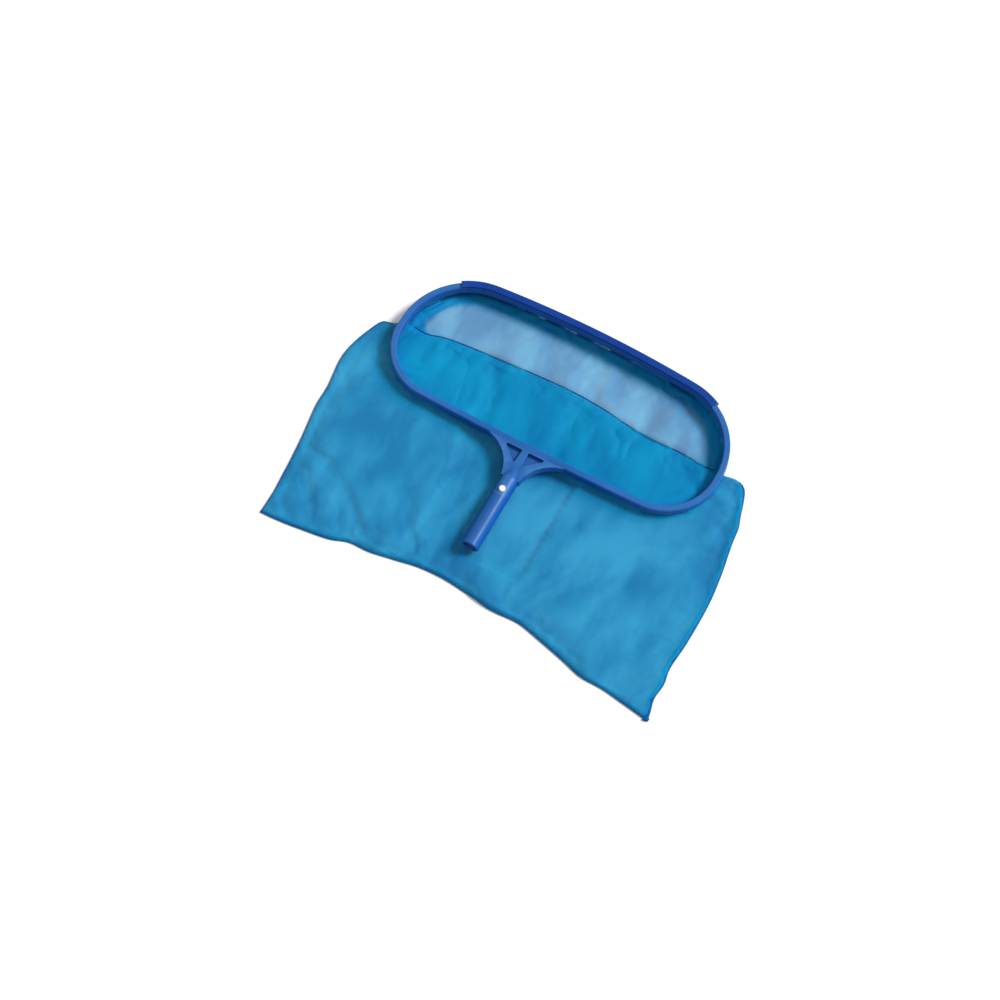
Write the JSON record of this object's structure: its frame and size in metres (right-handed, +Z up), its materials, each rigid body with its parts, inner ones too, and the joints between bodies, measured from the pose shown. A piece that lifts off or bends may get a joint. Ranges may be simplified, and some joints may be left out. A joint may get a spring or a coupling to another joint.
{
  "type": "leaf skimmer net",
  "caption": "Hand skimmer with a long oval hoop, clip-on scoop lip, deep folded mesh bag and a round spigot with snap buttons for a pole.",
  "frame": {"origin": "middle of the area that the net covers on the floor, at floor level", "axes": "+X along the hoop's long axis, +Y from the spigot towards the scoop lip, +Z up"},
  "size_m": [0.552, 0.4128, 0.0325],
  "materials": {
    "hoop_plastic": "satin moulded polypropylene",
    "lip_plastic": "satin moulded plastic",
    "net": "fine translucent mesh",
    "hem": "folded and sewn mesh",
    "cord": "braided",
    "clip_plastic": "natural nylon"
  },
  "bodies": {
    "net": {"hoop_frame": "hoop_plastic", "scoop_lip": "lip_plastic", "net_bag": "net", "side_hem": "hem", "bottom_hem": "hem", "mouth_hem": "hem", "hem_cord": "cord", "clip_bow": "clip_plastic"},
    "upper_button": {"upper_snap_arm": "clip_plastic"},
    "lower_button": {"lower_snap_arm": "clip_plastic"}
  },
  "joints": [
    {"name": "upper_button_press", "type": "hinge", "parent": "net", "child": "upper_button", "pos_m": [-0.009, -0.0994, 0.02502], "axis": [-1, 0, 0], "range_deg": [0, 3.4], "stiffness_Nm_per_rad": 4},
    {"name": "lower_button_press", "type": "hinge", "parent": "net", "child": "lower_button", "pos_m": [-0.009, -0.0994, 0.01098], "axis": [1, 0, 0], "range_deg": [0, 3.4], "stiffness_Nm_per_rad": 4}
  ]
}
